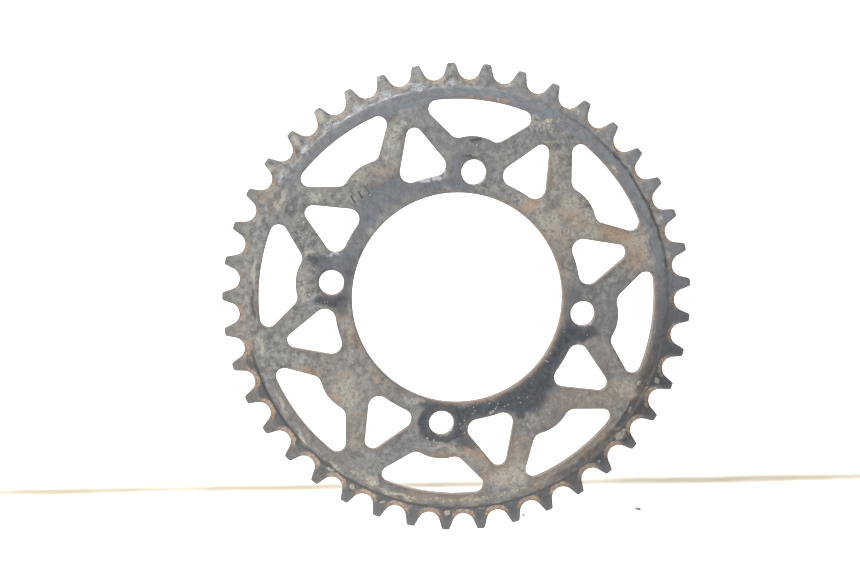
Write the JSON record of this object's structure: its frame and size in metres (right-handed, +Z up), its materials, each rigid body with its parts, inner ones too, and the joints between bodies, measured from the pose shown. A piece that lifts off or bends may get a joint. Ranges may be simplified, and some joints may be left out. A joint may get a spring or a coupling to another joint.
{
  "type": "rear sprocket",
  "caption": "Flat steel chain ring for a wheel hub, with a toothed rim, a central bore, bolt holes and rows of lightening windows.",
  "frame": {"origin": "on the wheel axis, at the centre of the bore, halfway through the plate's thickness", "axes": "Y is the wheel axis, with the outer face toward -Y and the hub side toward +Y; Z is up, and the lowest tooth gap is straight down, so the rim stands on the two teeth beside it"},
  "size_m": [0.17, 0.0056, 0.1699],
  "materials": {
    "plate": "worn satin black paint over weathered steel, with brown rust on the edges"
  },
  "bodies": {
    "root": {"sprocket_plate": "plate"}
  },
  "joints": []
}
